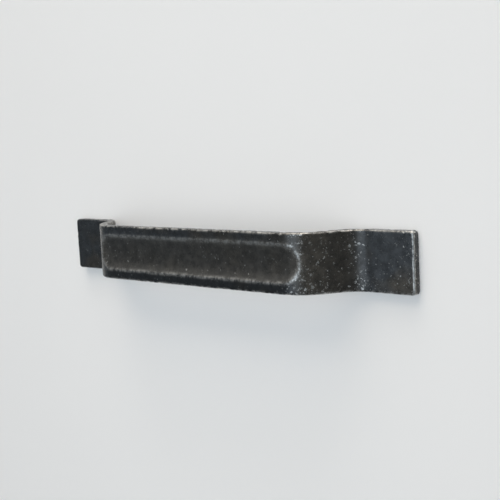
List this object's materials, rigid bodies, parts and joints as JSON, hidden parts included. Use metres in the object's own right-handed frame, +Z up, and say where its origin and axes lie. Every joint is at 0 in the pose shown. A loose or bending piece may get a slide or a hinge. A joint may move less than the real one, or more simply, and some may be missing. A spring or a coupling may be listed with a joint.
{
  "type": "sash lift handle",
  "caption": "Flat hat-section lift handle for a sash window, with a long shallow finger scoop in its grip, fixed from behind by two screws.",
  "frame": {"origin": "on the mounting plane (the back faces of the feet), midway between the two fixing centres", "axes": "+X along the bar, +Y into the rail that the handle is fixed to, +Z up across the bar's width"},
  "size_m": [0.178, 0.0444, 0.022],
  "materials": {
    "blackened_iron": "waxed black patina, worn bright along the edges",
    "zinc_plated_steel": "satin zinc plate",
    "washer_steel": "satin zinc plate"
  },
  "bodies": {
    "root": {"handle_bar": "blackened_iron", "fixing_screw_left": "zinc_plated_steel", "fixing_screw_right": "zinc_plated_steel", "washer_left": "washer_steel", "washer_right": "washer_steel"}
  },
  "joints": []
}
